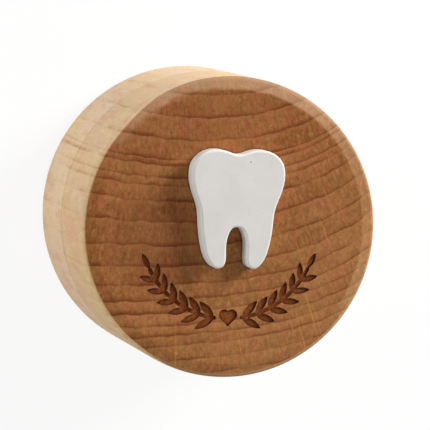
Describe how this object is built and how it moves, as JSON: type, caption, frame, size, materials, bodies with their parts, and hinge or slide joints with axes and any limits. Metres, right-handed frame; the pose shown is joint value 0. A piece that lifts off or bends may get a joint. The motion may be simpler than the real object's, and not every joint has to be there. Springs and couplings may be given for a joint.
{
  "type": "baby tooth box",
  "caption": "Round turned wooden keepsake box: a collared cup, a push-fit lid with an engraved leaf border, and a white painted tooth glued on the lid.",
  "frame": {"origin": "centre of the base's flat underside", "axes": "+Z out of the lid's face along the turning axis, +Y towards the tooth's crown, +X to the tooth's right as it is looked at"},
  "size_m": [0.06, 0.06, 0.0426],
  "materials": {
    "beech": "oiled beech, pale along the grain and brown on the end grain, satin",
    "white_paint": "matt white paint on plywood"
  },
  "bodies": {
    "base": {"base": "beech"},
    "lid": {"lid": "beech", "tooth_plaque": "white_paint"}
  },
  "joints": [
    {"name": "lid_lift", "type": "slide", "parent": "base", "child": "lid", "axis": [0, 0, 1], "range_m": [0, 0.035]}
  ]
}
